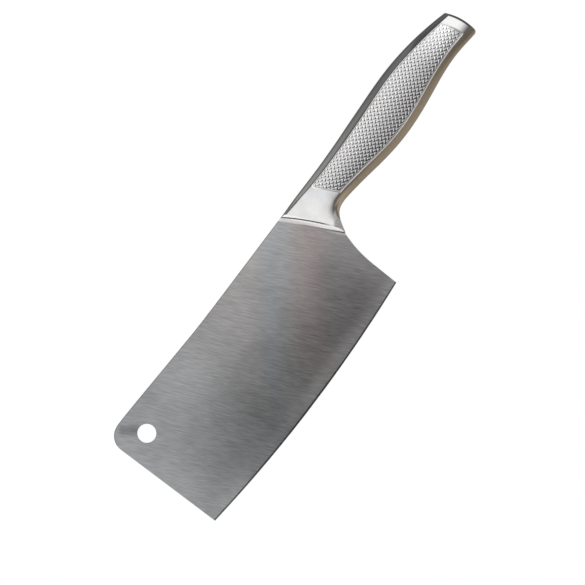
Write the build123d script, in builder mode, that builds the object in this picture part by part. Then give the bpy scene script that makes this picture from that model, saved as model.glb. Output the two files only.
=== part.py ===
from build123d import *
from collections import namedtuple
from math import radians, sqrt, tan
import os

os.makedirs("parts", exist_ok=True)

# The cleaver stands on its cutting edge: X runs from the blade's front end to the butt,
# Z from the lowest place of the cutting edge up to the spine, and Y is the thickness.
# All sizes are millimetres and degrees.

overall_length = 290.0

# Blade
blade_length = 158.0
blade_height = 75.8
spine_height = 73.0
tip_rise = 4.4
heel_rise = 3.6
heel_lean = 0.5
heel_straight_height = 20.0
front_corner_radius = 9.3
front_corner_turn = 66.0
blade_thickness = 2.5
edge_thickness = 1.0
cutting_bevel_height = 1.1
cutting_edge_width = 0.2
spine_chamfer = 0.35
hole_diameter = 10.0
hole_from_front = 15.2
hole_height = 60.9

# Handle
handle_front = 146.4
grip_height = 28.5
grip_thickness = 17.6
side_crown = 0.5
spine_flank = 3.4
belly_flank = 4.4
shell_wall = 1.4
butt_radius = 30.0
butt_peak_height = 55.8
butt_arc_reach = 60.0
butt_rim_radius = 1.6
butt_rim_limit_share = 1.52
butt_corner_radius = 2.2

# Neck: the bowed line where it meets the blade, and its bevel
junction_bow = 0.3
bevel_angle = 46.0

# Seat of the blade in the neck
seat_depth = 12.0
seat_drop = 1.0
tang_length = 36.0
tang_height = 12.0
tang_drop = 3.2

# Seams, and what fits inside the handle
weld_width = 0.8
neck_seam_top = 167.0
neck_seam_bottom = 176.5
cap_length = 5.0
spigot_length = 5.0
spigot_gap = 0.1
weight_start = 236.0
weight_length = 34.0
weight_gap = 0.3

# Grip panel
panel_depth = 0.4
panel_rim = 0.5
panel_front_top = 170.0
panel_front_bottom = 184.4
panel_back = 6.4
panel_corner_radius = 1.0

# How far a cut or a trimming block runs past what it trims
overrun = 10.0

# Lowest place of the cutting edge along the blade
lowest_edge_share = 0.47

# Spine of the blade: places along the blade, and rises above its straight rear stretch
spine_crown_shares = ((0.089, 1.0), (0.203, 0.74), (0.392, 0.26), (0.646, 0.0))

# Sections across the handle, from the neck to just past the butt: the places of their spine
# and belly along the handle, the rise of the spine and the drop of the belly from the level
# of the blade's spine, and the widths and heights of the two flanks
Section = namedtuple(
    "Section",
    "spine_place belly_place rise drop spine_width belly_width spine_flank belly_flank",
)
section_shares = (
    Section(0.000, 0.1128, 0.000, 1.122, 0.55, 0.21, 0.18, 0.40),
    Section(0.081, 0.1365, 0.007, 0.947, 0.63, 0.43, 0.50, 0.78),
    Section(0.140, 0.1685, 0.007, 0.789, 0.71, 0.61, 0.74, 0.95),
    Section(0.206, 0.2117, 0.004, 0.753, 0.79, 0.76, 0.86, 1.00),
    Section(0.304, 0.3040, 0.012, 0.805, 0.88, 0.87, 0.96, 1.04),
    Section(0.359, 0.3590, 0.022, 0.848, 0.92, 0.92, 1.01, 1.04),
    Section(0.415, 0.4150, 0.038, 0.891, 0.96, 0.96, 1.06, 1.02),
    Section(0.526, 0.5260, 0.066, 0.935, 1.00, 1.00, 1.08, 0.96),
    Section(0.638, 0.6380, 0.089, 0.909, 1.00, 1.00, 0.99, 0.98),
    Section(0.749, 0.7490, 0.071, 0.837, 0.98, 0.97, 0.97, 0.98),
    Section(0.861, 0.8610, -0.005, 0.786, 0.94, 0.92, 0.97, 0.96),
    Section(0.950, 0.9500, -0.104, 0.811, 0.90, 0.88, 0.81, 1.11),
    Section(1.014, 1.0140, -0.198, 0.826, 0.86, 0.84, 0.58, 1.20),
)
hollow_section_shares = section_shares[1:]
panel_section_shares = section_shares[2:]

front_x = -overall_length / 2
back_x = overall_length / 2
handle_x = front_x + handle_front
handle_length = overall_length - handle_front


def spine_point(section):
    """Crown of a section on the spine"""
    x = handle_x + section.spine_place * handle_length
    return Vector(x, 0, spine_height + section.rise * grip_height)


def belly_point(section):
    """Crown of a section on the belly"""
    x = handle_x + section.belly_place * handle_length
    return Vector(x, 0, spine_height - section.drop * grip_height)


def upward(section):
    """Direction from the belly to the spine"""
    return (spine_point(section) - belly_point(section)).normalized()


def flank_height(half_width, height, inset):
    """Height of a rounded flank above its outer crown, for a form inside it by an inset"""
    radius = (half_width**2 + height**2) / (2 * height)
    return radius - sqrt((radius - inset) ** 2 - (half_width - inset) ** 2)


def creases(section, inset):
    """Half width and height of the spine crease and of the belly crease of a section"""
    height = (spine_point(section) - belly_point(section)).length
    spine_width = section.spine_width * grip_thickness / 2
    belly_width = section.belly_width * grip_thickness / 2
    spine_drop = flank_height(spine_width, section.spine_flank * spine_flank, inset)
    belly_rise = flank_height(belly_width, section.belly_flank * belly_flank, inset)
    return (spine_width - inset, height - spine_drop), (belly_width - inset, belly_rise)


def handle_form(inset, sections):
    """Solid form of the handle through some of its sections, inside its faces by an inset"""
    with BuildPart() as form:
        for section in sections:
            up = upward(section)
            crown = (spine_point(section) - belly_point(section)).length - inset
            (spine_y, spine_z), (belly_y, belly_z) = creases(section, inset)
            side_y = (spine_y + belly_y) / 2 + side_crown
            side_z = (spine_z + belly_z) / 2
            section_plane = Plane(belly_point(section), x_dir=(0, 1, 0), z_dir=(up.Z, 0, -up.X))
            with BuildSketch(section_plane):
                with BuildLine():
                    ThreePointArc((-spine_y, spine_z), (0, crown), (spine_y, spine_z))
                    ThreePointArc((spine_y, spine_z), (side_y, side_z), (belly_y, belly_z))
                    ThreePointArc((belly_y, belly_z), (0, inset), (-belly_y, belly_z))
                    ThreePointArc((-belly_y, belly_z), (-side_y, side_z), (-spine_y, spine_z))
                make_face()
        loft()
    return form.part


def behind_neck_seam(offset):
    """Block behind a plane that lies parallel to the neck seam, further back by an offset"""
    lean = (neck_seam_bottom - neck_seam_top) / grip_height * overrun
    top = spine_height + overrun
    bottom = spine_height - grip_height - overrun
    with BuildPart() as block:
        with BuildSketch(Plane.XZ):
            Polygon(
                (front_x + neck_seam_top - lean + offset, top),
                (front_x + neck_seam_bottom + lean + offset, bottom),
                (back_x + overrun, bottom),
                (back_x + overrun, top),
                align=None,
            )
        extrude(amount=grip_thickness, both=True)
    return block.part


def before_butt(distance):
    """Block in front of an arc that is the butt's arc moved forwards by a distance"""
    with BuildPart() as block:
        with BuildSketch(Plane.XZ):
            with BuildLine():
                centre = (back_x - butt_radius - distance, butt_peak_height)
                arc = CenterArc(centre, butt_radius, -butt_arc_reach, 2 * butt_arc_reach)
                Polyline(
                    arc @ 1, (handle_x, (arc @ 1).Y), (handle_x, (arc @ 0).Y), arc @ 0
                )
            make_face()
        extrude(amount=grip_thickness, both=True)
    return block.part


outer_form = handle_form(0, section_shares)
cavity_form = handle_form(shell_wall, hollow_section_shares)
spigot_form = handle_form(shell_wall + spigot_gap, hollow_section_shares)
weight_form = handle_form(shell_wall + weight_gap, hollow_section_shares)

# Line between neck and blade: its two ends, on the spine and at the fin above the heel
nose_top = spine_point(section_shares[0])
fin = belly_point(section_shares[0])

# Blade: plate with a stub tang, ground thinner towards the edge, with a cutting bevel
tip = Vector(front_x, 0, tip_rise)
lowest = Vector(front_x + lowest_edge_share * blade_length, 0, 0)
heel = Vector(front_x + blade_length, 0, heel_rise)
heel_bend = heel + Vector(heel_lean, 0, heel_straight_height - heel_rise)
front_corner = Vector(front_x, 0, blade_height - front_corner_radius)
seat_top = nose_top + (fin - nose_top) * (seat_drop / (nose_top.Z - fin.Z))
spine_crown = [
    (front_x + place * blade_length, spine_height + rise * (blade_height - spine_height))
    for place, rise in spine_crown_shares
]


def side_view(point):
    """Place of a point in a sketch of the side view"""
    return (point.X, point.Z)


with BuildPart() as blade:
    with BuildSketch(Plane.XZ):
        with BuildLine():
            ThreePointArc(side_view(tip), side_view(lowest), side_view(heel))
            Line(side_view(heel), side_view(heel_bend))
            TangentArc(
                side_view(heel_bend), side_view(fin), tangent=side_view(heel_bend - heel)
            )
            Polyline(
                side_view(fin),
                (handle_x + seat_depth, seat_top.Z),
                side_view(seat_top),
                side_view(nose_top),
                spine_crown[-1],
            )
            corner_arc = JernArc(
                start=side_view(front_corner),
                tangent=(0, 1),
                radius=front_corner_radius,
                arc_size=-front_corner_turn,
            )
            Spline(corner_arc @ 1, *spine_crown, tangents=(corner_arc % 1, (1, 0)))
            Line(side_view(front_corner), side_view(tip))
        make_face()
        with Locations((handle_x, spine_height - tang_drop)):
            Rectangle(tang_length, tang_height, align=(Align.MIN, Align.MAX))
    extrude(amount=blade_thickness / 2, both=True)
    spine_edges = blade.edges().filter_by(
        lambda edge: edge.center().Z > front_corner.Z
        and edge.center().X < handle_x
        and edge.length > blade_thickness
    )
    chamfer(spine_edges, length=spine_chamfer)
    with BuildSketch(Plane.YZ.offset(front_x)):
        Polygon(
            (-edge_thickness / 2, 0),
            (edge_thickness / 2, 0),
            (blade_thickness / 2, blade_height),
            (-blade_thickness / 2, blade_height),
            align=None,
        )
    extrude(amount=overall_length, mode=Mode.INTERSECT)
    with Locations(Plane.XZ):
        with Locations((front_x + hole_from_front, hole_height)):
            Hole(hole_diameter / 2)
    chamfer(
        blade.edges().sort_by(Axis.Z)[:2],
        length=(edge_thickness - cutting_edge_width) / 2,
        length2=cutting_bevel_height,
        reference=blade.faces().sort_by(Axis.Z)[0],
    )
blade.part.label = "blade"

# Bolster: solid neck with a bevelled nose, slotted for the blade, and a spigot at the back
rearward = Vector(nose_top.Z - fin.Z, 0, fin.X - nose_top.X).normalized()
bevel_run = rearward / tan(radians(bevel_angle))
nose_shift = bevel_run * (-blade_thickness / 2)
junction_middle = (nose_top + fin) / 2 + rearward * junction_bow
cut_top = nose_top + nose_shift
cut_middle = junction_middle + nose_shift
cut_bottom = fin + nose_shift
with BuildPart() as nose_cut:
    with BuildSketch(Plane.XZ):
        with BuildLine():
            ThreePointArc(side_view(cut_top), side_view(cut_middle), side_view(cut_bottom))
            Polyline(
                side_view(cut_bottom),
                (cut_bottom.X, cut_bottom.Z - overrun),
                (cut_top.X - overrun, cut_bottom.Z - overrun),
                (cut_top.X - overrun, cut_top.Z + overrun),
                (cut_top.X, cut_top.Z + overrun),
                side_view(cut_top),
            )
        make_face()
    extrude(amount=grip_thickness, dir=bevel_run - Vector(0, 1, 0))
    mirror(about=Plane.XZ)

with BuildPart() as bolster_spigot:
    add(spigot_form)
    add(behind_neck_seam(0), mode=Mode.INTERSECT)
    add(behind_neck_seam(spigot_length), mode=Mode.SUBTRACT)

with BuildPart() as bolster:
    add(outer_form)
    add(behind_neck_seam(0), mode=Mode.SUBTRACT)
    add(nose_cut.part, mode=Mode.SUBTRACT)
    add(bolster_spigot.part)
    add(blade.part, mode=Mode.SUBTRACT)
bolster.part.label = "bolster"

# Grip panel: a recess of even depth inside a plain rim, on both sides of the handle


def panel_line(section, end):
    """Border of the panel on one section, inside the crease by the rim: end 0 is the spine"""
    crease_z = creases(section, 0)[end][1]
    inward = panel_rim if end else -panel_rim
    return side_view(belly_point(section) + upward(section) * (crease_z + inward))


with BuildPart() as panel_recess:
    with BuildSketch(Plane.XZ):
        with BuildLine():
            upper_line = Spline(*[panel_line(section, 0) for section in panel_section_shares])
            lower_line = Spline(*[panel_line(section, 1) for section in panel_section_shares])
            Line(upper_line @ 0, lower_line @ 0)
            Line(upper_line @ 1, lower_line @ 1)
        make_face()
        Polygon(
            (front_x + panel_front_top, spine_height),
            (front_x + panel_front_bottom, spine_height - grip_height),
            (back_x, spine_height - grip_height),
            (back_x, spine_height + grip_height),
            (front_x + panel_front_top, spine_height + grip_height),
            align=None,
            mode=Mode.INTERSECT,
        )
    extrude(amount=grip_thickness, both=True)
    add(before_butt(panel_back), mode=Mode.INTERSECT)
    fillet(panel_recess.edges().filter_by(Axis.Y), panel_corner_radius)
    add(handle_form(panel_depth, section_shares), mode=Mode.SUBTRACT)

# Handle tube: pressed from sheet in two halves, which two long seams and two rings join
with BuildPart() as tube:
    add(outer_form)
    add(cavity_form, mode=Mode.SUBTRACT)
    add(panel_recess.part, mode=Mode.SUBTRACT)


def tube_slice(start_block, end_block):
    """Stretch of the tube between two trimming blocks"""
    with BuildPart() as stretch:
        add(tube.part)
        add(start_block, mode=Mode.INTERSECT)
        add(end_block, mode=Mode.INTERSECT)
    return stretch.part


shell_stretch = tube_slice(behind_neck_seam(weld_width), before_butt(cap_length + weld_width))
half_seam = weld_width / 2

with BuildPart() as handle_shell_left:
    add(shell_stretch)
    split(bisect_by=Plane.XZ.offset(half_seam), keep=Keep.TOP)
handle_shell_left.part.label = "handle_shell_left"

with BuildPart() as handle_shell_right:
    add(shell_stretch)
    split(bisect_by=Plane.XZ.offset(-half_seam), keep=Keep.BOTTOM)
handle_shell_right.part.label = "handle_shell_right"

with BuildPart() as seams:
    add(shell_stretch)
    split(bisect_by=Plane.XZ.offset(half_seam), keep=Keep.BOTTOM)
    split(bisect_by=Plane.XZ.offset(-half_seam), keep=Keep.TOP)

with BuildPart() as spine_seam_weld:
    add(seams.solids().sort_by(Axis.Z)[-1])
spine_seam_weld.part.label = "spine_seam_weld"

with BuildPart() as belly_seam_weld:
    add(seams.solids().sort_by(Axis.Z)[0])
belly_seam_weld.part.label = "belly_seam_weld"

with BuildPart() as neck_weld:
    add(tube.part)
    add(behind_neck_seam(0), mode=Mode.INTERSECT)
    add(behind_neck_seam(weld_width), mode=Mode.SUBTRACT)
neck_weld.part.label = "neck_weld"

with BuildPart() as butt_weld:
    add(tube.part)
    add(before_butt(cap_length), mode=Mode.INTERSECT)
    add(before_butt(cap_length + weld_width), mode=Mode.SUBTRACT)
butt_weld.part.label = "butt_weld"

# Butt cap: solid end with a rounded rim, and a spigot that enters the tube
with BuildPart() as cap_spigot:
    add(spigot_form)
    add(before_butt(cap_length), mode=Mode.INTERSECT)
    add(before_butt(cap_length + spigot_length), mode=Mode.SUBTRACT)

# Side view of the end: the butt's arc, with a round corner at the belly
belly_end = belly_point(section_shares[-1])
with BuildPart() as end_outline:
    with BuildSketch(Plane.XZ):
        with Locations((back_x - butt_radius, butt_peak_height)):
            Circle(butt_radius)
        with Locations((back_x, belly_end.Z)):
            Rectangle(
                2 * butt_radius, grip_height, align=(Align.MAX, Align.MAX), mode=Mode.SUBTRACT
            )
        fillet(vertices().sort_by(Axis.X)[-1], butt_corner_radius)
    extrude(amount=grip_thickness, both=True)

# The rim's fillet is smaller on a thin grip and on a slow taper, where the side leaves less room
butt_rim_limit = butt_rim_limit_share * grip_thickness * grip_thickness / overall_length
with BuildPart() as butt_cap:
    add(outer_form)
    add(end_outline.part, mode=Mode.INTERSECT)
    rear_edges = butt_cap.faces().sort_by(Axis.X)[-1].edges().sort_by(Axis.Y)
    fillet((rear_edges[0], rear_edges[-1]), min(butt_rim_radius, butt_rim_limit))
    add(before_butt(cap_length), mode=Mode.SUBTRACT)
    add(cap_spigot.part)
butt_cap.part.label = "butt_cap"

# Balance weight: slug that follows the inside of the tube
with BuildPart() as balance_weight:
    add(weight_form)
    split(bisect_by=Plane.YZ.offset(front_x + weight_start), keep=Keep.TOP)
    split(bisect_by=Plane.YZ.offset(front_x + weight_start + weight_length), keep=Keep.BOTTOM)
balance_weight.part.label = "balance_weight"

pieces = (
    blade,
    bolster,
    handle_shell_left,
    handle_shell_right,
    butt_cap,
    balance_weight,
    spine_seam_weld,
    belly_seam_weld,
    neck_weld,
    butt_weld,
)
for piece in pieces:
    export_step(piece.part, f"parts/{piece.part.label}.step")
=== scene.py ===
from collections import namedtuple
from functools import cached_property
from math import ceil, cos, radians, sin

import bpy
import numpy as np
from mathutils import Matrix, Vector
from mathutils.bvhtree import BVHTree


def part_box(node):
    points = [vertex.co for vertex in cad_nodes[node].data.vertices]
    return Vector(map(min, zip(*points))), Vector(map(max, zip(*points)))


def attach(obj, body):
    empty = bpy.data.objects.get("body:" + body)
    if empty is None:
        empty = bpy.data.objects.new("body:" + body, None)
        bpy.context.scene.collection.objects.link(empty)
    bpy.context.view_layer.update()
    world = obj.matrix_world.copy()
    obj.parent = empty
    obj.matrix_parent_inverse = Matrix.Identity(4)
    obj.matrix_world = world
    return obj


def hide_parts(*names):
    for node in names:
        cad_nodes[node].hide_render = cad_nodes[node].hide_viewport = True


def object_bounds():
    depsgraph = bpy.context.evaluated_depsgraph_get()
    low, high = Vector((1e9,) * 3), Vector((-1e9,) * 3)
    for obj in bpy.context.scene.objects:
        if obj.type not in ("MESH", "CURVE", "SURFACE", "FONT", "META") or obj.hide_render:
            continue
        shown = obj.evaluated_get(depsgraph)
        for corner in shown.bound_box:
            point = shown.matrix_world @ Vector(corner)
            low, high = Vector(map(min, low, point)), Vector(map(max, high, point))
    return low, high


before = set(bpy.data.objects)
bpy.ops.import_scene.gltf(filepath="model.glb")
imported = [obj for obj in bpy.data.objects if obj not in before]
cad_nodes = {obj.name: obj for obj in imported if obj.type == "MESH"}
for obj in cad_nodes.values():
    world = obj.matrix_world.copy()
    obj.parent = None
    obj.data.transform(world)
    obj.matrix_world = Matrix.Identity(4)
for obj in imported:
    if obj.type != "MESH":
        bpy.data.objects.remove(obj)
cad_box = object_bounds()
mm = 0.001
per_mm = 1 / mm

# Camera: square to the blade, with the cleaver turned in the picture
picture_width = 308.7 * mm
picture_roll = radians(37)
picture_middle = Vector((-24.2, 0, 44.23)) * mm
camera_distance = 1.0
nearest_seen, farthest_seen = 0.01, 100

# Floor just below the lowest place of the edge
floor_size = 6.0
floor_height = -0.2 * mm
floor_glow = 0.15

# Studio: lamps, and the brightness of the room below and above, which changes around the horizon
lamp_size = 1.0
room_below, room_above = 0.7, 1.05
horizon = 0.6

# Stations along the handle, in millimetres behind the front end of the blade
overall_length = 290.0
cap_length = 5.0
weld_width = 0.8
butt_spine_lag = 3.0
butt_belly_lag = 0.68
butt_bow = 1.65
rim_start = 3.5

# Grid of points on the handle: rows across it, each with columns around it
row_step = 0.25
column_count = 360
quarter = column_count // 4
column_knots = (0, 54, 66, 90)
angle_knots = (0, 36, 44, 90)
seam_columns = 1
turn_rows = 56
sideways_share = 0.97
ray_start = 0.1
beside_middle = 0.03 * mm
tiny_square, tiny_length = 1e-18, 1e-12

# Walls of the grip panel's recess, which the grid leaves out
wall_normal = 0.3
wall_share = 0.6
wall_reach = 0.3 * mm
wall_slack = 0.02 * mm
border_lead = 20
far_away = 1.0
fill_rounds = 40

# Softening: of all creases, and more widely where the neck turns into its belly
crease_blur = 1.1
neck_blur = 11.0
row_blur = 1.0
neck_angle = 48
neck_spread = 13
neck_soft_row = 16
neck_soft_rise = 12
neck_soft_tail = 30
neck_soft_fall = 60
cap_edge_rows = 4
side_margin = 0.03 * mm
thickness_room = 0.6 * mm

# Walls of the skins, and the front end of the neck, which is tucked in
skin_wall = 0.9 * mm
inner_step = 4
tuck = 0.25 * mm
front_narrowing = 0.8

# Grip panel
panel_middle = (225, 61)
panel_depth = 0.4 * mm
bar_pitch = 2.7 * mm
bar_turn = radians(45)
bar_length = 2.35 * mm
bar_width = 1.5 * mm
bar_height = 0.34 * mm
bar_fullness = 1.15
bar_end_power = 2.6
lattice_station = 200.08
lattice_height = 61.2
bar_free_rim = 0.2 * mm
border_run = 0.45 * mm
border_limit = 2.0

handle_names = [
    "bolster", "neck_weld", "handle_shell_left", "handle_shell_right",
    "spine_seam_weld", "belly_seam_weld", "butt_weld", "butt_cap",
]

front_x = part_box("blade")[0].x

# Rows across the handle: the stations of their spine and belly ends, and how far they bow back
Row = namedtuple("Row", "spine belly bow")


def butt_row(distance):
    """Row that follows the round butt, a distance in front of it"""
    back = overall_length - distance
    return Row(back - butt_spine_lag, back - butt_belly_lag, butt_bow)


def rows_between(first, last):
    """Evenly spaced rows from one row up to, and without, another"""
    longest = max(abs(last.spine - first.spine), abs(last.belly - first.belly))
    count = ceil(longest / row_step)
    return [
        Row(*(a + (b - a) * index / count for a, b in zip(first, last))) for index in range(count)
    ]


nose_row = Row(146.45, 162.7, 0.3)
seam_row = Row(167.0, 174.2, 0.0)
shell_row = Row(167.8, 175.0, 0.0)
panel_row = Row(170.0, 180.5, 0.0)
upright_row = Row(215.0, 215.0, 0.0)
rear_row = Row(262.0, 262.0, 0.2)
stages = [
    nose_row, seam_row, shell_row, panel_row, upright_row, rear_row,
    butt_row(cap_length + weld_width), butt_row(cap_length), butt_row(rim_start),
]
rows, stage_starts = [], []
for first, last in zip(stages, stages[1:]):
    stage_starts.append(len(rows))
    rows += rows_between(first, last)
seam_start, shell_start, panel_start = stage_starts[1:4]
butt_weld_start, cap_start = stage_starts[6:8]


class Surface:
    """Outer surface of some CAD nodes, which rays from outside meet"""

    def __init__(self, names):
        points, polygons = [], []
        for name in names:
            mesh = cad_nodes[name].data
            first = len(points)
            points += [vertex.co.copy() for vertex in mesh.vertices]
            polygons += [[first + i for i in polygon.vertices] for polygon in mesh.polygons]
        self.points, self.polygons = points, polygons
        self.tree = BVHTree.FromPolygons(points, polygons)

    def hit(self, target, outward):
        """First place, with its normal and polygon, on the ray that comes in to a target"""
        return self.tree.ray_cast(target + outward * ray_start, -outward)[:3]

    def face_of(self, polygon):
        """All polygons of the smooth face that one polygon belongs to"""
        users = {}
        for index, corners in enumerate(self.polygons):
            for corner in corners:
                users.setdefault(corner, []).append(index)
        found, waiting = {polygon}, [polygon]
        while waiting:
            for corner in self.polygons[waiting.pop()]:
                for other in users[corner]:
                    if other not in found:
                        found.add(other)
                        waiting.append(other)
        return found


surface = Surface(handle_names)
outline = Surface(handle_names + ["blade"])


def contour(station, upward):
    """Point on the outline of the spine or the belly, beside the middle plane"""
    target = Vector((front_x + station * mm, beside_middle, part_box("bolster")[0].z))
    return outline.hit(target, Vector((0, 0, 1 if upward else -1)))[0]


def column_angle(column):
    """Angle of a column around the handle, in degrees: columns lie closer over the sides"""
    turn, place = divmod(column + 0.5, quarter)
    if turn % 2:
        return 90 * (turn + 1) - np.interp(quarter - place, column_knots, angle_knots)
    return 90 * turn + np.interp(place, column_knots, angle_knots)


angles = [column_angle(column) for column in range(column_count)]


def row_rays(row):
    """Target and outward direction of each ray of a row"""
    top, bottom = contour(row.spine, True), contour(row.belly, False)
    half = (top - bottom) / 2
    middle = (top + bottom) / 2
    bow = Vector((row.bow * mm, 0, 0))
    thickness = abs(outline.hit(middle + bow, Vector((0, -1, 0)))[0].y)
    reach = max(1 - thickness / half.length, 0) * sideways_share
    rays = []
    for angle in map(radians, angles):
        share = sin(angle) * reach
        target = middle + half * share + bow * (1 - share * share)
        rays.append((target, Vector((0, -cos(angle), 0)) + half.normalized() * sin(angle)))
    return rays


grid_size = (len(rows) + turn_rows, column_count)
places = np.zeros((*grid_size, 3))
normals = np.zeros_like(places)
polygons = np.zeros(grid_size, int)
row_numbers = np.arange(len(places))


def cast(index, rays):
    """Keeps what the rays of one row meet"""
    for column, (target, outward) in enumerate(rays):
        place, normal, polygon = surface.hit(target, outward)
        places[index, column], normals[index, column] = place, normal
        polygons[index, column] = polygon


for index, row in enumerate(rows):
    cast(index, row_rays(row))
last_rays = row_rays(rows[-1])
for step in range(turn_rows):
    turn = radians(90) * (step + 1) / turn_rows
    back = Vector((sin(turn), 0, 0))
    cast(len(rows) + step, [(target, out * cos(turn) + back) for target, out in last_rays])


def flat_places(indices):
    """Side view of some points of the surface"""
    return np.array([(surface.points[i].x, surface.points[i].z) for i in indices])


def distance_to_border(points, faces):
    """Distance in the side view from points to the border of some faces, inside or outside"""
    edges = {}
    for face in faces:
        corners = surface.polygons[face]
        for a, b in zip(corners, corners[1:] + corners[:1]):
            edges[frozenset((a, b))] = edges.get(frozenset((a, b)), 0) + 1
    single = [tuple(edge) for edge, uses in edges.items() if uses == 1]
    starts = flat_places([a for a, b in single])
    runs = flat_places([b for a, b in single]) - starts
    lengths = np.maximum((runs**2).sum(1), tiny_square)
    nearest = np.full(len(points), np.inf)
    for start, run, length in zip(starts, runs, lengths):
        share = np.clip((points - start) @ run / length, 0, 1)
        gap = points - start - share[:, None] * run
        nearest = np.minimum(nearest, np.hypot(gap[:, 0], gap[:, 1]))
    return nearest


def blur(values, size, axis, wrap):
    """Gaussian blur of a grid along one axis"""
    reach = ceil(3 * size)
    offsets = np.arange(-reach, reach + 1)
    weights = np.exp(-0.5 * (offsets / size) ** 2)
    weights /= weights.sum()
    padding = [(0, 0)] * values.ndim
    padding[axis] = (reach, reach)
    if wrap:
        padded = np.pad(values, padding, mode="wrap")
    else:
        padded = np.pad(values, padding, mode="reflect", reflect_type="odd")
    total = np.zeros_like(values)
    count = values.shape[axis]
    for offset, weight in enumerate(weights):
        total += weight * np.take(padded, range(offset, offset + count), axis=axis)
    return total


def fill(gaps):
    """Carries the surface smoothly across some points of the grid"""
    columns = np.arange(column_count)
    for index in np.nonzero(gaps.any(1))[0]:
        good = ~gaps[index]
        for axis in range(3):
            known = places[index, good, axis]
            filled = np.interp(columns, columns[good], known, period=column_count)
            places[index, gaps[index], axis] = filled[gaps[index]]
    for _ in range(fill_rounds):
        beside = np.roll(places, 1, axis=1) + np.roll(places, -1, axis=1)
        beside[1:-1] += places[2:] + places[:-2]
        places[gaps] = beside[gaps] / 4


def grid_normals(grid):
    """Outward normals of a grid of points"""
    along = np.gradient(grid, axis=0)
    around = np.roll(grid, -1, axis=1) - np.roll(grid, 1, axis=1)
    normal = np.cross(along, around)
    return normal / np.maximum(np.linalg.norm(normal, axis=2, keepdims=True), tiny_length)


def smoothstep(values):
    """Smooth rise from 0 to 1"""
    share = np.clip(values, 0, 1)
    return share * share * (3 - 2 * share)


def bar_relief(x, z, turn):
    """Height from 0 to 1 of a lattice of short domed bars, turned about their centres"""
    x = (x + bar_pitch / 2) % bar_pitch - bar_pitch / 2
    z = (z + bar_pitch / 2) % bar_pitch - bar_pitch / 2
    along = np.abs(x * cos(turn) + z * sin(turn)) / (bar_length / 2)
    across = np.abs(z * cos(turn) - x * sin(turn)) / (bar_width / 2)
    return smoothstep(bar_fullness * (1 - (along**bar_end_power + across**2)))


# The recess of each grip panel is filled here and made again with its raised bars below
in_panel = np.zeros(grid_size, bool)
border_distance = np.full(grid_size, far_away)
near_rows = (row_numbers > panel_start - border_lead)[:, None]
panel_target = Vector((front_x + panel_middle[0] * mm, 0, panel_middle[1] * mm))
for side in (-1, 1):
    panel_floor = surface.face_of(surface.hit(panel_target, Vector((0, side, 0)))[2])
    in_panel |= np.isin(polygons, list(panel_floor))
    near = (places[..., 1] * side > 0) & near_rows
    border_distance[near] = distance_to_border(places[near][:, [0, 2]], panel_floor)
half_widths = np.abs(places[..., 1]).max(1)[:, None]
walls = (np.abs(normals[..., 1]) < wall_normal) & (border_distance < wall_reach)
walls &= (np.abs(places[..., 1]) > wall_share * half_widths) & ~in_panel
walls |= border_distance < wall_slack
places[in_panel] += normals[in_panel] * panel_depth
fill(walls)

# The sides stay inside the size of the solids
start = cad_box[1].y - side_margin - thickness_room
over = np.maximum(np.abs(places[..., 1]) - start, 0)
held = np.minimum(np.abs(places[..., 1]), start) + thickness_room * np.tanh(over / thickness_room)
places[..., 1] = np.sign(places[..., 1]) * held

# Creases are slightly rounded, and the neck turns softly into its belly
towards_belly = np.abs(np.array(angles) - 270) - neck_angle
towards_belly = np.exp(-0.5 * (towards_belly / neck_spread) ** 2)
along_neck = np.clip((row_numbers - neck_soft_row) / neck_soft_rise, 0, 1)
along_neck *= np.clip((panel_start + neck_soft_tail - row_numbers) / neck_soft_fall, 0, 1)
soft = (along_neck[:, None] * towards_belly[None, :])[..., None]
base = blur(places, crease_blur, 1, True) * (1 - soft) + blur(places, neck_blur, 1, True) * soft
before_cap = np.clip((len(rows) - row_numbers) / cap_edge_rows, 0, 1)[:, None, None]
base = blur(base, row_blur, 0, False) * before_cap + base * (1 - before_cap)

# Skin: the filled surface, sunk inside the panel's border and raised over the bars
inside = np.where(in_panel, border_distance, -border_distance)
border = np.clip(inside / mm, -border_limit, border_limit)
x = base[..., 0] - front_x - lattice_station * mm
z = base[..., 2] - lattice_height * mm
relief = bar_relief(x, z, bar_turn)
relief = np.maximum(relief, bar_relief(x - bar_pitch / 2, z - bar_pitch / 2, -bar_turn))
relief *= smoothstep((inside - bar_free_rim) / border_run)
depth = smoothstep(inside / border_run) * panel_depth
outward = grid_normals(base)
skin = base + outward * (relief * bar_height - depth)[..., None]
inner = base - outward * skin_wall

# The first row is tucked into the blade, and at the spine also under it
near_spine = np.clip(4 * np.sin(np.radians(angles)) - 3, 0, 1)
skin[0] -= (tuck, 0, 0)
skin[0, :, 1] *= front_narrowing
skin[0, :, 2] -= tuck * near_spine
skin_normals = grid_normals(skin)


def coarse(values):
    """Every few values, and always the last"""
    return sorted({*values[::inner_step], values[-1]})


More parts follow.
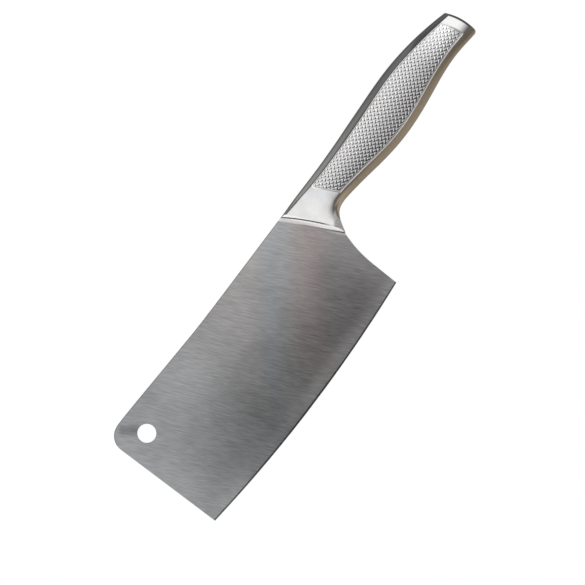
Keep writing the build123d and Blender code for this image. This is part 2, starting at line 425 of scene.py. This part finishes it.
class Patch:
    """Closed shell over part of the grid, with a coarser inner face"""

    layers = (skin, inner)

    def __init__(self, row_range, column_range):
        rows, columns = list(range(*row_range)), list(range(*column_range))
        self.number, self.points, self.sources, self.faces = {}, [], [], []
        self.sheet(0, rows, columns)
        self.outer_count = len(self.faces)
        self.sheet(1, coarse(rows), coarse(columns))
        self.wall(columns, lambda column: (rows[0], column), False)
        if rows[-1] < len(places) - 1:
            self.wall(columns, lambda column: (rows[-1], column), True)
        if len(columns) <= column_count:
            self.wall(rows, lambda row: (row, columns[0]), True)
            self.wall(rows, lambda row: (row, columns[-1]), False)

    def vertex(self, layer, row, column):
        """Number of a grid point, which is added at its first use"""
        source = (row, column % column_count)
        if (layer, source) not in self.number:
            self.number[layer, source] = len(self.points)
            self.points.append(tuple(self.layers[layer][source]))
            self.sources.append(source)
        return self.number[layer, source]

    def sheet(self, layer, rows, columns):
        """Faces of one layer, which look outwards in the first and inwards in the second"""
        for a, b in zip(rows, rows[1:]):
            for c, d in zip(columns, columns[1:]):
                sides = ((a, d), (b, c)) if layer else ((b, c), (a, d))
                spots = ((a, c), sides[0], (b, d), sides[1])
                self.faces.append([self.vertex(layer, *spot) for spot in spots])

    def wall(self, fine, spot, flip):
        """Faces along a border of the patch, from the outer sheet to the inner one"""
        marks = coarse(fine)
        for first, last in zip(marks, marks[1:]):
            run = fine[fine.index(first):fine.index(last) + 1]
            face = [self.vertex(0, *spot(value)) for value in run]
            face += [self.vertex(1, *spot(last)), self.vertex(1, *spot(first))]
            self.faces.append(face[::-1] if flip else face)

    def corner_normals(self, mesh):
        """Normals of the fine grid on the outer sheet, and of the flat faces elsewhere"""
        flat = np.zeros(len(self.faces) * 3, np.float32)
        mesh.polygons.foreach_get("normal", flat)
        corners = np.zeros(len(mesh.loops), int)
        mesh.loops.foreach_get("vertex_index", corners)
        faces = np.repeat(np.arange(len(self.faces)), [len(face) for face in self.faces])
        found = flat.reshape(-1, 3)[faces]
        outer = faces < self.outer_count
        rows, columns = np.array(self.sources).T
        found[outer] = skin_normals[rows, columns][corners[outer]]
        return found

    def mesh(self, name):
        """Mesh with its normals, and with the relief and border distance of each point"""
        mesh = bpy.data.meshes.new(name)
        mesh.from_pydata(self.points, [], self.faces)
        mesh.polygons.foreach_set("use_smooth", [True] * len(mesh.polygons))
        mesh.normals_split_custom_set(self.corner_normals(mesh))
        for label, grid in (("relief", relief), ("border", border)):
            values = np.array([grid[source] for source in self.sources], np.float32)
            mesh.attributes.new(label, "FLOAT", "POINT").data.foreach_set("value", values)
        mesh.update()
        return mesh


def add_skin(name, row_range, column_range, node):
    """Adds a closed piece of the skin, which stands for one CAD node"""
    piece = bpy.data.objects.new(name, Patch(row_range, column_range).mesh(name))
    bpy.context.scene.collection.objects.link(piece)
    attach(piece, "root")
    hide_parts(node)
    return piece


neck_rows = (0, seam_start + 1)
neck_weld_rows = (seam_start, shell_start + 1)
shell_rows = (shell_start, butt_weld_start + 1)
butt_weld_rows = (butt_weld_start, cap_start + 1)
cap_rows = (cap_start, len(places))
all_around = (0, column_count + 1)
spine_seam = (quarter - seam_columns, quarter + seam_columns)
belly_seam = (3 * quarter - seam_columns, 3 * quarter + seam_columns)
left_side = (belly_seam[1] - 1, column_count + spine_seam[0] + 1)
right_side = (spine_seam[1] - 1, belly_seam[0] + 1)
skins = [
    add_skin("bolster_skin", neck_rows, all_around, "bolster"),
    add_skin("neck_weld_skin", neck_weld_rows, all_around, "neck_weld"),
    add_skin("left_shell_skin", shell_rows, left_side, "handle_shell_left"),
    add_skin("right_shell_skin", shell_rows, right_side, "handle_shell_right"),
    add_skin("spine_weld_skin", shell_rows, spine_seam, "spine_seam_weld"),
    add_skin("belly_weld_skin", shell_rows, belly_seam, "belly_seam_weld"),
    add_skin("butt_weld_skin", butt_weld_rows, all_around, "butt_weld"),
    add_skin("butt_cap_skin", cap_rows, all_around, "butt_cap"),
]

# Line between neck and blade: its upper end, its direction down to the fin, and its rear side
nose_start = Vector((front_x + 146.4 * mm, 0, 73.0 * mm))
nose_run = (0.451, 0, -0.892)
nose_rearward = (0.892, 0, 0.451)

# Directions in the side view: to the right in the picture, and across the edge of the fin
aside_run = (0.602, -0.799)
fin_run = (0.604, -0.797)

# Grinding lines of the blade
grinding = radians(-65)
grind_run = (cos(grinding), 0, sin(grinding))
grind_across = (-sin(grinding), 0, cos(grinding))

# Tones from 0 to 255 become colours by this power
tone_power = 2.2


# The ramps below follow stations and heights in mm, and shares of the normal from -1 to 1


def grey(level):
    """Colour without a tint"""
    return (level, level, level)


class Nodes:
    """Node tree, and short calls that add nodes to it"""

    def __init__(self, tree):
        self.tree = tree
        tree.nodes.clear()

    def add(self, kind, **settings):
        node = self.tree.nodes.new(kind)
        for key, value in settings.items():
            setattr(node, key, value)
        return node

    def put(self, socket, value):
        """Links a socket, or sets its value"""
        if isinstance(value, bpy.types.NodeSocket):
            self.tree.links.new(value, socket)
        else:
            socket.default_value = value

    def math(self, operation, *values):
        node = self.add("ShaderNodeMath", operation=operation)
        for socket, value in zip(node.inputs, values):
            self.put(socket, value)
        return node.outputs[0]

    def times(self, first, *others):
        """Product of two or more values"""
        for other in others:
            first = self.math("MULTIPLY", first, other)
        return first

    def plus(self, first, second):
        return self.math("ADD", first, second)

    def minus(self, first, second):
        return self.math("SUBTRACT", first, second)

    def larger(self, first, second):
        return self.math("MAXIMUM", first, second)

    def ramp(self, value, low, high, start=0.0, end=1.0, smooth=True):
        """Value carried from one range to another, and held at its ends"""
        kind = "SMOOTHSTEP" if smooth else "LINEAR"
        node = self.add("ShaderNodeMapRange", interpolation_type=kind)
        for socket, number in zip(node.inputs, (value, low, high, start, end)):
            self.put(socket, number)
        return node.outputs[0]

    def band(self, value, low, high, soft):
        """1 between two values, which falls off on both sides"""
        rise = self.ramp(value, low - soft, low + soft)
        return self.times(rise, self.ramp(value, high + soft, high - soft))

    def join(self, x, y, z):
        node = self.add("ShaderNodeCombineXYZ")
        for socket, value in zip(node.inputs, (x, y, z)):
            self.put(socket, value)
        return node.outputs[0]

    def mix(self, share, first, second, blend="MIX"):
        """Colour between two colours"""
        node = self.add("ShaderNodeMix", data_type="RGBA", blend_type=blend)
        self.put(node.inputs[0], share)
        for socket, value in zip(node.inputs[6:8], (first, second)):
            self.put(socket, (*value, 1.0) if isinstance(value, tuple) else value)
        return node.outputs[2]

    def fade(self, first, second, value, low, high, share=1.0, smooth=True):
        """Colour that turns into another while a value goes from one number to another"""
        return self.mix(self.ramp(value, low, high, 0.0, share, smooth), first, second)


class Material(Nodes):
    """Material with one shader, and the measures that its colours follow"""

    def __init__(self, name, **settings):
        self.material = bpy.data.materials.new(name)
        self.material.use_nodes = True
        super().__init__(self.material.node_tree)
        self.shader = self.add("ShaderNodeBsdfPrincipled")
        output = self.add("ShaderNodeOutputMaterial")
        self.put(output.inputs[0], self.shader.outputs[0])
        for socket, value in settings.items():
            self.set(socket.replace("_", " "), value)

    def set(self, socket, value):
        """Links a socket of the shader, or sets its value"""
        self.put(self.shader.inputs[socket], value)

    @cached_property
    def coordinates(self):
        return self.add("ShaderNodeTexCoord").outputs

    @property
    def place(self):
        return self.coordinates["Object"]

    @property
    def normal(self):
        return self.coordinates["Normal"]

    def along(self, vector, direction, scale=per_mm):
        """Distance of a place along a direction, times a scale"""
        node = self.add("ShaderNodeVectorMath", operation="DOT_PRODUCT")
        self.put(node.inputs[0], vector)
        node.inputs[1].default_value = [part * scale for part in direction]
        return node.outputs["Value"]

    @cached_property
    def station(self):
        """Distance behind the front end of the blade, in mm"""
        return self.plus(self.along(self.place, (1, 0, 0)), -front_x * per_mm)

    @cached_property
    def height(self):
        """Height above the lowest place of the edge, in mm"""
        return self.along(self.place, (0, 0, 1))

    @cached_property
    def upward(self):
        return self.along(self.normal, (0, 0, 1), 1)

    @cached_property
    def backward(self):
        return self.along(self.normal, (1, 0, 0), 1)

    @cached_property
    def behind(self):
        """Distance behind the neck's front line, in mm"""
        return self.from_nose(nose_rearward)

    @cached_property
    def down(self):
        """Distance down the neck's front line from its upper end, in mm"""
        return self.from_nose(nose_run)

    @cached_property
    def relief(self):
        """Height of the grip's bars, from 0 to 1"""
        return self.add("ShaderNodeAttribute", attribute_name="relief").outputs["Fac"]

    @cached_property
    def border(self):
        """Distance inside the panel's border, in mm, and below 0 outside it"""
        return self.add("ShaderNodeAttribute", attribute_name="border").outputs["Fac"]

    def from_nose(self, direction):
        """Distance from the upper end of the neck's front line along a direction, in mm"""
        start = nose_start.dot(Vector(direction)) * per_mm
        return self.minus(self.along(self.place, direction), start)

    def across(self, run):
        """Distance along a direction of the side view, in mm"""
        return self.plus(self.times(self.station, run[0]), self.times(self.height, run[1]))

    def noise(self, vector, detail=2.0, scale=1.0):
        node = self.add("ShaderNodeTexNoise")
        self.put(node.inputs["Vector"], vector)
        node.inputs["Scale"].default_value = scale
        node.inputs["Detail"].default_value = detail
        return node.outputs["Fac"]

    def bump(self, height, distance):
        node = self.add("ShaderNodeBump")
        self.put(node.inputs["Height"], height)
        node.inputs["Distance"].default_value = distance
        self.set("Normal", node.outputs[0])


def streaks(graph, width, length):
    """Noise drawn out along the grinding lines, with streaks of a width and length in mm"""
    return graph.noise(graph.join(
        graph.along(graph.place, grind_run, per_mm / length),
        graph.along(graph.place, grind_across, per_mm / width),
        graph.along(graph.place, (0, 1, 0), per_mm / width),
    ))


def blade_light(graph):
    """Tone of the blade, with painted shade that falls towards the heel and the belly, and painted
    light along the edge and the spine
    """
    low = graph.ramp(graph.height, 62.0, 14.0)
    rear = graph.ramp(graph.station, -5.0, 65.0)
    heel = graph.ramp(graph.station, 138.0, 158.0, 1.0, 0.62)
    tone = graph.ramp(graph.times(low, rear, heel), 0.0, 1.0, 147.0, 101.0, False)
    # Painted light along the edge and, towards the neck, along the spine
    edge_highlight = graph.ramp(graph.station, 40.0, 110.0, 8.0, 22.0)
    tone = graph.plus(tone, graph.times(graph.ramp(graph.height, 12.0, 3.0), edge_highlight))
    near_neck = graph.ramp(graph.station, 95.0, 125.0)
    return graph.plus(tone, graph.times(graph.ramp(graph.height, 58.0, 72.0), near_neck, 15.0))


def blade_marks(graph, tone, aside):
    """Adds a painted glint before the neck, painted shade on faces tilted up or down such as the
    bevels of the edge, and a darker patch beside the hole
    """
    # Painted glint on the blade just before the neck
    glint = graph.times(graph.band(graph.behind, -1.2, -0.6, 0.3), graph.ramp(graph.down, 24.0, 33.0))
    tone = graph.plus(tone, graph.times(glint, 45.0))
    # Painted shade on faces tilted up or down, such as the bevels of the edge
    tilt = graph.math("ABSOLUTE", graph.upward)
    tone = graph.times(tone, graph.ramp(tilt, 0.12, 0.25, 1.0, 0.68))
    # Darker patch beside the hole
    upwards = graph.across((-aside_run[1], aside_run[0]))
    dark_patch = graph.times(graph.band(aside, -54.0, -43.0, 1.6), graph.band(upwards, 47.8, 53.0, 2.0))
    return graph.minus(tone, graph.times(dark_patch, 26.0))


def blade_tint(graph, aside):
    """Bluish at the front end and in one stripe, and reddish in the stripe beside it"""
    warm = graph.times(graph.band(aside, 39.0, 55.0, 7.0), graph.ramp(graph.station, 85.0, 110.0))
    cool = graph.larger(graph.ramp(graph.station, 95.0, 40.0), graph.band(aside, 20.0, 34.0, 6.0))
    tint = graph.mix(cool, (1.02, 0.995, 0.99), (0.98, 1.0, 1.022))
    return graph.mix(warm, tint, (1.085, 0.97, 0.955))


def blade_steel():
    """Coarsely ground steel, light at the spine and front end and dark above the edge"""
    graph = Material("ground_blade_steel", Metallic=1.0)
    aside = graph.across(aside_run)
    fine, coarser = streaks(graph, 0.3, 6.0), streaks(graph, 1.0, 15.0)
    broad = graph.noise(graph.place, detail=3.0, scale=38.0)
    tone = blade_light(graph)
    for grain, spread in ((fine, 16.0), (coarser, 5.0), (broad, 8.0)):
        tone = graph.plus(tone, graph.ramp(grain, 0.25, 0.75, -spread, spread, False))
    tone = blade_marks(graph, tone, aside)
    level = graph.math("POWER", graph.math("DIVIDE", tone, 255.0), tone_power)
    colour = graph.join(level, level, level)
    graph.set("Base Color", graph.mix(1.0, colour, blade_tint(graph, aside), "MULTIPLY"))
    graph.set("Roughness", graph.ramp(fine, 0.3, 0.7, 0.36, 0.46, False))
    graph.bump(fine, 0.01 * mm)
    return graph.material


def side_colour(graph):
    """Pale side: bluish behind the neck, with a painted highlight at the butt and painted shade at its
    lower corner
    """
    cloud = graph.noise(graph.place, detail=3.0, scale=55.0)
    side = graph.fade((0.72, 0.72, 0.715), (0.86, 0.855, 0.845), cloud, 0.35, 0.65)
    side = graph.fade(side, (0.71, 0.715, 0.72), graph.station, 163.0, 170.0)
    # Painted highlight towards the butt, and painted shade at its lower corner
    side = graph.fade(side, (0.93, 0.93, 0.925), graph.station, 276.0, 284.0)
    corner = graph.times(graph.ramp(graph.height, 58.3, 53.7), graph.ramp(graph.station, 281.0, 284.0))
    return graph.mix(corner, side, grey(0.2))


def belly_painted_reflection(graph):
    """Painted reflection on the belly flank: brownish with lines along it, darker towards the butt,
    and lighter underneath and behind the neck
    """
    lines = graph.noise(graph.join(
        graph.along(graph.place, (1, 0, 0), per_mm / 22.0),
        graph.along(graph.place, (0, 1, 0), per_mm / 0.5),
        graph.along(graph.place, (0, 0, 1), per_mm / 0.5),
    ))
    belly = graph.fade((0.27, 0.21, 0.15), (0.11, 0.087, 0.062), graph.station, 230.0, 285.0)
    belly = graph.fade(belly, (0.42, 0.335, 0.24), graph.station, 190.0, 173.0)
    belly = graph.fade(belly, (0.44, 0.36, 0.265), graph.upward, -0.74, -0.99, 0.75)
    belly = graph.fade(belly, (0.44, 0.43, 0.41), graph.station, 168.5, 165.0)
    return graph.fade(belly, (0.20, 0.17, 0.12), lines, 0.25, 0.75, 0.5, False)


def flank_painted_light(graph):
    """Pale side with painted light and shade by the normal: a dark spine flank with darker painted
    shade along its edges, painted shade where the neck turns into its belly, the belly flank's painted
    reflection, and a dark rim of painted shade at the butt
    """
    rising = graph.minus(graph.upward, graph.ramp(graph.station, 257.0, 276.0, 0.0, 0.32))
    # Painted shade on the spine flank, darker towards the butt
    spine = graph.fade((0.29, 0.29, 0.28), grey(0.14), graph.station, 160.0, 242.0)
    spine = graph.fade(spine, grey(0.07), graph.station, 257.0, 272.0)
    colour = graph.fade(side_colour(graph), spine, rising, 0.02, 0.2)
    # Darker painted shade along the edges of the spine flank
    edges = graph.larger(graph.band(rising, 0.25, 0.74, 0.06), graph.ramp(graph.upward, 0.9, 0.985))
    front_share = graph.ramp(graph.station, 205.0, 160.0, 0.75, 0.9)
    edges = graph.times(edges, front_share, graph.ramp(graph.station, 274.0, 260.0))
    colour = graph.mix(edges, colour, grey(0.045))
    # Painted shade where the neck turns into its belly
    dark = graph.fade((0.12, 0.11, 0.10), (0.33, 0.325, 0.32), graph.station, 168.0, 164.5)
    turned = graph.minus(graph.upward, graph.ramp(graph.station, 170.0, 174.5, 0.0, 0.09))
    colour = graph.fade(colour, dark, turned, -0.12, -0.5, smooth=False)
    colour = graph.fade(colour, belly_painted_reflection(graph), graph.upward, -0.5, -0.74)
    # Painted shade on the rim of the butt, where the faces turn backwards
    rim = graph.times(graph.ramp(graph.backward, 0.18, 0.4), graph.ramp(graph.station, 272.0, 280.0))
    return graph.mix(rim, colour, grey(0.07))


def fin_colour(graph):
    """Fine lines on the fin, which run down it"""
    lines = graph.noise(graph.join(
        graph.math("DIVIDE", graph.down, 9.0),
        graph.math("DIVIDE", graph.behind, 0.35),
        graph.along(graph.place, (0, 1, 0), per_mm / 0.6),
    ))
    return graph.fade((0.27, 0.26, 0.25), (0.43, 0.42, 0.415), lines, 0.3, 0.7)


def bevel_painted_light(graph):
    """Painted highlight in a band along the neck's front line, with grey before it and a dark line of
    painted shade at its foot
    """
    strip = graph.fade((0.70, 0.67, 0.665), (0.90, 0.88, 0.875), graph.down, 14.0, 27.0)
    strip = graph.fade(strip, (0.98, 0.965, 0.96), graph.behind, 1.2, 2.3)
    from_front = graph.minus(graph.behind, graph.ramp(graph.down, 5.0, 15.0, -0.3, 0.4))
    bevel = graph.fade((0.24, 0.225, 0.22), strip, from_front, -0.1, 0.25)
    # Dark line of painted shade at the foot of the bright band
    foot = graph.times(graph.band(graph.behind, -0.1, 0.3, 0.12), graph.ramp(graph.down, 26.0, 32.0))
    return graph.mix(foot, bevel, grey(0.04))


def neck_crease_shade(graph):
    """Share of the thin dark line of painted shade behind the bevel"""
    sag = graph.math("POWER", graph.math("ABSOLUTE", graph.minus(graph.down, 17.0)), 2.0)
    from_line = graph.plus(graph.behind, graph.times(sag, 0.0035))
    return graph.times(graph.band(from_line, 2.62, 3.3, 0.16), graph.ramp(graph.down, 31.0, 22.0))


def panel_painted_shading(graph):
    """Grip texture of domed bars, with painted highlights above and painted shade towards the belly
    and between the bars
    """
    butt_light = graph.ramp(graph.station, 255.0, 284.0)
    butt_highlight = graph.times(butt_light, graph.ramp(graph.height, 56.0, 64.0))
    lift = graph.ramp(graph.height, 52.0, 72.0, -0.12, 0.2, False)
    lift = graph.plus(lift, graph.times(butt_light, 0.2))
    # Painted highlights, lighter upwards and at the upper side of the butt
    bright = graph.fade((0.47, 0.46, 0.46), (0.72, 0.71, 0.71), graph.height, 53.0, 69.0)
    bright = graph.mix(butt_highlight, bright, grey(0.96))
    # Painted shade on the slopes of the bars that face the belly
    facing = graph.plus(graph.upward, lift)
    texture = graph.fade((0.04, 0.04, 0.042), bright, facing, -0.34, 0.12)
    # Slightly darker low between the bars: painted shade
    floor_share = graph.ramp(graph.height, 58.0, 69.0, 0.85, 0.95)
    valley_shade = graph.larger(graph.ramp(graph.relief, 0.02, 0.55, floor_share, 1.0), butt_highlight)
    valley_shade = graph.larger(valley_shade, graph.ramp(graph.border, 0.8, 0.45, 0.0, 0.7))
    return graph.mix(1.0, texture, graph.join(valley_shade, valley_shade, valley_shade), "MULTIPLY")


def with_panel(graph, colour):
    """Adds the grip's painted shading, painted shade on the land beside the panel, and painted
    highlights on the crests of its border
    """
    # Painted shade on the land outside the border, where it turns towards the belly
    land = graph.times(graph.ramp(graph.border, -0.75, -0.6), graph.ramp(graph.upward, 0.1, -0.15))
    land = graph.times(land, graph.ramp(graph.upward, -0.62, -0.5))
    colour = graph.mix(land, colour, (0.26, 0.25, 0.25))
    colour = graph.fade(colour, panel_painted_shading(graph), graph.border, 0.1, 0.4)
    # Painted highlights on the crests along the border
    low_crest = graph.band(graph.upward, -0.51, -0.31, 0.06)
    high_crest = graph.band(graph.upward, 0.03, 0.17, 0.05)
    crests = graph.larger(low_crest, high_crest)
    line = graph.times(crests, graph.band(graph.border, -0.9, 0.1, 0.1))
    return graph.mix(line, colour, (0.93, 0.88, 0.86))


def handle_steel():
    """Polished steel of the handle and its neck, with reflections, highlights and shade painted into
    its colour
    """
    graph = Material("polished_handle_steel", Metallic=1.0)
    fin = graph.ramp(graph.across(fin_run), 58.7, 60.8)
    fin = graph.times(fin, graph.ramp(graph.station, 167.8, 165.8))
    colour = graph.mix(fin, flank_painted_light(graph), fin_colour(graph))
    forward = graph.times(graph.ramp(graph.backward, -0.2, -0.42), graph.ramp(graph.behind, 6.0, 5.0))
    # Painted highlight and shade on the bevel along the neck's front line
    colour = graph.mix(forward, colour, bevel_painted_light(graph))
    # Thin dark line of painted shade behind the bevel
    colour = graph.mix(neck_crease_shade(graph), colour, grey(0.065))
    graph.set("Base Color", with_panel(graph, colour))
    graph.set("Metallic", graph.ramp(forward, 0.0, 1.0, 1.0, 0.1, False))
    graph.set("Specular Tint", (0.5, 0.5, 0.5, 1))
    fine = graph.noise(graph.place, scale=900.0)
    graph.set("Roughness", graph.ramp(fine, 0.3, 0.7, 0.2, 0.27, False))
    return graph.material


def hidden_iron():
    """Raw cast iron of the balance weight"""
    graph = Material("cast_iron", Metallic=0.6)
    grain = graph.noise(graph.place, detail=4.0, scale=700.0)
    graph.set("Base Color", graph.mix(grain, (0.05, 0.048, 0.045), (0.12, 0.11, 0.10)))
    graph.set("Roughness", graph.ramp(grain, 0.3, 0.7, 0.6, 0.85, False))
    graph.bump(grain, 0.05 * mm)
    return graph.material


def wear_node(name, material):
    """Gives a CAD node one material, in the slots that it has"""
    for material_slot in cad_nodes[name].material_slots:
        material_slot.material = material


polished = handle_steel()
for piece in skins:
    piece.data.materials.append(polished)
wear_node("blade", blade_steel())
wear_node("balance_weight", hidden_iron())
for name in handle_names:
    wear_node(name, polished)


def studio():
    """White background, and soft even light from all around"""
    world = bpy.data.worlds.new("studio")
    bpy.context.scene.world = world
    world.use_nodes = True
    graph = Nodes(world.node_tree)
    rays = graph.add("ShaderNodeLightPath").outputs
    mirrored = graph.larger(rays["Is Glossy Ray"], rays["Is Transmission Ray"])
    direction = graph.add("ShaderNodeTexCoord").outputs["Generated"]
    level = graph.add("ShaderNodeSeparateXYZ")
    graph.put(level.inputs[0], direction)
    white, room = graph.add("ShaderNodeBackground"), graph.add("ShaderNodeBackground")
    for background in (white, room):
        background.inputs["Color"].default_value = (1, 1, 1, 1)
    glow = graph.ramp(level.outputs["Z"], -horizon, horizon, room_below, room_above, False)
    graph.put(room.inputs["Strength"], glow)
    choice = graph.add("ShaderNodeMixShader")
    seen = graph.larger(rays["Is Camera Ray"], mirrored)
    for socket, value in zip(choice.inputs, (seen, room.outputs[0], white.outputs[0])):
        graph.put(socket, value)
    graph.put(graph.add("ShaderNodeOutputWorld").inputs[0], choice.outputs[0])


def add_lamp(name, place, power):
    """Large soft lamp that looks at the cleaver"""
    lamp = bpy.data.lights.new(name, "AREA")
    lamp.energy, lamp.size = power, lamp_size
    holder = bpy.data.objects.new(name, lamp)
    holder.location = place
    holder.rotation_euler = (-Vector(place)).to_track_quat("-Z", "Y").to_euler()
    bpy.context.scene.collection.objects.link(holder)


def floor():
    """Large white floor that shows the cleaver's shadow"""
    reach = floor_size / 2
    mesh = bpy.data.meshes.new("floor")
    corners = [(-reach, -reach), (reach, -reach), (reach, reach), (-reach, reach)]
    mesh.from_pydata([(x, y, floor_height) for x, y in corners], [], [(0, 1, 2, 3)])
    graph = Material("white_floor", Roughness=0.9, Specular_IOR_Level=0.0)
    graph.set("Base Color", (0.86, 0.86, 0.86, 1))
    graph.set("Emission Color", (1, 1, 1, 1))
    path = graph.add("ShaderNodeLightPath")
    graph.set("Emission Strength", graph.times(path.outputs["Is Camera Ray"], floor_glow))
    mesh.materials.append(graph.material)
    piece = bpy.data.objects.new("floor", mesh)
    bpy.context.scene.collection.objects.link(piece)


def camera():
    """Square to the blade, rolled as the photograph is"""
    data = bpy.data.cameras.new("camera")
    data.type = "ORTHO"
    data.ortho_scale = picture_width
    data.clip_start, data.clip_end = nearest_seen, farthest_seen
    holder = bpy.data.objects.new("camera", data)
    right = Vector((sin(picture_roll), 0, -cos(picture_roll)))
    up = Vector((cos(picture_roll), 0, sin(picture_roll)))
    back = right.cross(up)
    turned = Matrix((right, up, back)).transposed().to_4x4()
    holder.matrix_world = Matrix.Translation(picture_middle + back * camera_distance) @ turned
    bpy.context.scene.collection.objects.link(holder)
    bpy.context.scene.camera = holder


studio()
add_lamp("key_lamp", (-0.9, -1.1, 1.3), 6.0)
add_lamp("fill_lamp", (0.9, 1.1, 1.3), 4.0)
floor()
camera()
bpy.context.scene.view_settings.view_transform = "Standard"
